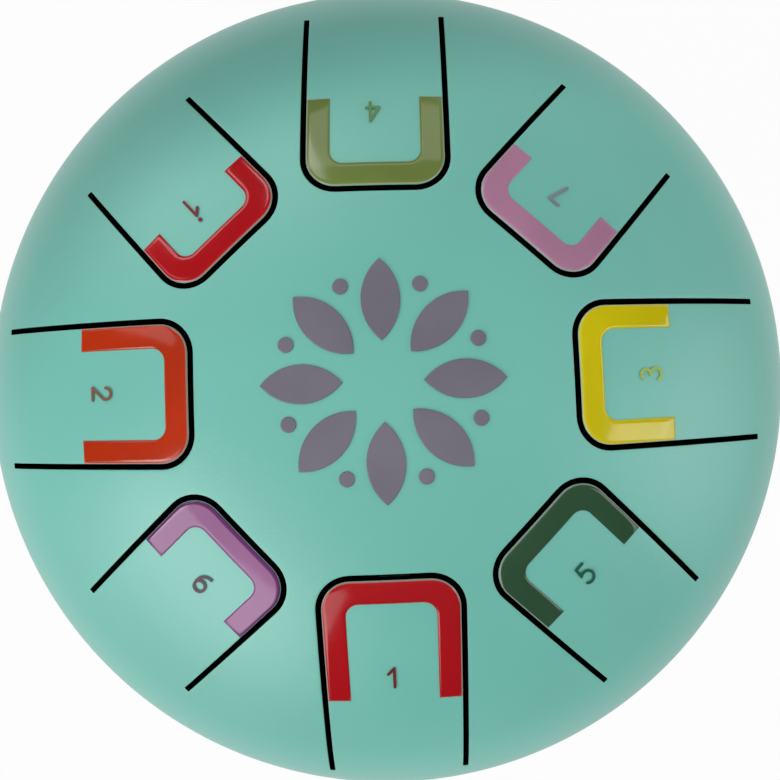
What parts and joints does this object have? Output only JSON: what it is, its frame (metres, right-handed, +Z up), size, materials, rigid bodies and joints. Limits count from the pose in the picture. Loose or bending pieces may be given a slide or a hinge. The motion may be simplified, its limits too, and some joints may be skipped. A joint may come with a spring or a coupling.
{
  "type": "steel tongue drum",
  "caption": "Hollow round steel drum with a domed mint top, tongues freed by U-shaped slots that ring when struck, coloured number stickers, a sound hole below and rubber feet.",
  "frame": {"origin": "on the drum's axis, at the level of the surface that its feet stand on", "axes": "+Z up along the drum's axis, -Y towards the player, where tongue 1 is, +X to the player's right, where tongue 3 is"},
  "size_m": [0.152, 0.152, 0.0861],
  "materials": {
    "mint_paint": "satin",
    "red_vinyl": "gloss",
    "orange_vinyl": "gloss",
    "yellow_vinyl": "gloss",
    "olive_vinyl": "gloss",
    "green_vinyl": "gloss",
    "purple_vinyl": "gloss",
    "mauve_vinyl": "gloss",
    "grey_vinyl": "gloss",
    "foot_rubber": "matte",
    "zinc_steel": "satin"
  },
  "bodies": {
    "drum": {"top_shell": "mint_paint", "bottom_shell": "mint_paint", "centre_rosette": "grey_vinyl", "rubber_foot_1": "foot_rubber", "rubber_foot_2": "foot_rubber", "rubber_foot_3": "foot_rubber", "foot_screws": "zinc_steel", "foot_washers": "zinc_steel", "foot_nuts": "zinc_steel"},
    "sounding_tongue_1": {"tongue_1": "mint_paint", "tongue_sticker_1": "red_vinyl", "number_1": "red_vinyl"},
    "sounding_tongue_2": {"tongue_2": "mint_paint", "tongue_sticker_2": "orange_vinyl", "number_2": "orange_vinyl"},
    "sounding_tongue_3": {"tongue_3": "mint_paint", "tongue_sticker_3": "yellow_vinyl", "number_3": "yellow_vinyl"},
    "sounding_tongue_4": {"tongue_4": "mint_paint", "tongue_sticker_4": "olive_vinyl", "number_4": "olive_vinyl"},
    "sounding_tongue_5": {"tongue_5": "mint_paint", "tongue_sticker_5": "green_vinyl", "number_5": "green_vinyl"},
    "sounding_tongue_6": {"tongue_6": "mint_paint", "tongue_sticker_6": "purple_vinyl", "number_6": "purple_vinyl"},
    "sounding_tongue_7": {"tongue_7": "mint_paint", "tongue_sticker_7": "mauve_vinyl", "number_7": "mauve_vinyl"},
    "sounding_tongue_high_1": {"tongue_high_1": "mint_paint", "tongue_sticker_high_1": "red_vinyl", "number_high_1": "red_vinyl"}
  },
  "joints": [
    {"name": "tongue_1_flex", "type": "hinge", "parent": "drum", "child": "sounding_tongue_1", "pos_m": [0.00001, -0.06974, 0.05842], "axis": [-1, -0.0052, 0], "range_deg": [-1.42, 1.42], "stiffness_Nm_per_rad": 104.7},
    {"name": "tongue_2_flex", "type": "hinge", "parent": "drum", "child": "sounding_tongue_2", "pos_m": [-0.06746, -0.00019, 0.06107], "axis": [0.014, 0.9999, 0], "range_deg": [-1.34, 1.34], "stiffness_Nm_per_rad": 110.8},
    {"name": "tongue_3_flex", "type": "hinge", "parent": "drum", "child": "sounding_tongue_3", "pos_m": [0.06617, 0.00035, 0.06231], "axis": [0.0157, -0.9999, 0], "range_deg": [-1.3, 1.3], "stiffness_Nm_per_rad": 115},
    {"name": "tongue_4_flex", "type": "hinge", "parent": "drum", "child": "sounding_tongue_4", "pos_m": [0.00035, 0.06602, 0.06244], "axis": [0.9999, -0.0157, 0], "range_deg": [-1.28, 1.28], "stiffness_Nm_per_rad": 116.3},
    {"name": "tongue_5_flex", "type": "hinge", "parent": "drum", "child": "sounding_tongue_5", "pos_m": [0.04567, -0.04533, 0.0638], "axis": [-0.6959, -0.7181, 0], "range_deg": [-1.16, 1.16], "stiffness_Nm_per_rad": 128},
    {"name": "tongue_6_flex", "type": "hinge", "parent": "drum", "child": "sounding_tongue_6", "pos_m": [-0.04512, -0.04381, 0.06488], "axis": [-0.6639, 0.7478, 0], "range_deg": [-1.08, 1.08], "stiffness_Nm_per_rad": 137.6},
    {"name": "tongue_7_flex", "type": "hinge", "parent": "drum", "child": "sounding_tongue_7", "pos_m": [0.04238, 0.04323, 0.06653], "axis": [0.7373, -0.6756, 0], "range_deg": [-1.05, 1.05], "stiffness_Nm_per_rad": 141.2},
    {"name": "tongue_high_1_flex", "type": "hinge", "parent": "drum", "child": "sounding_tongue_high_1", "pos_m": [-0.04207, 0.04364, 0.06648], "axis": [0.7466, 0.6652, 0], "range_deg": [-1.04, 1.04], "stiffness_Nm_per_rad": 143.2}
  ]
}
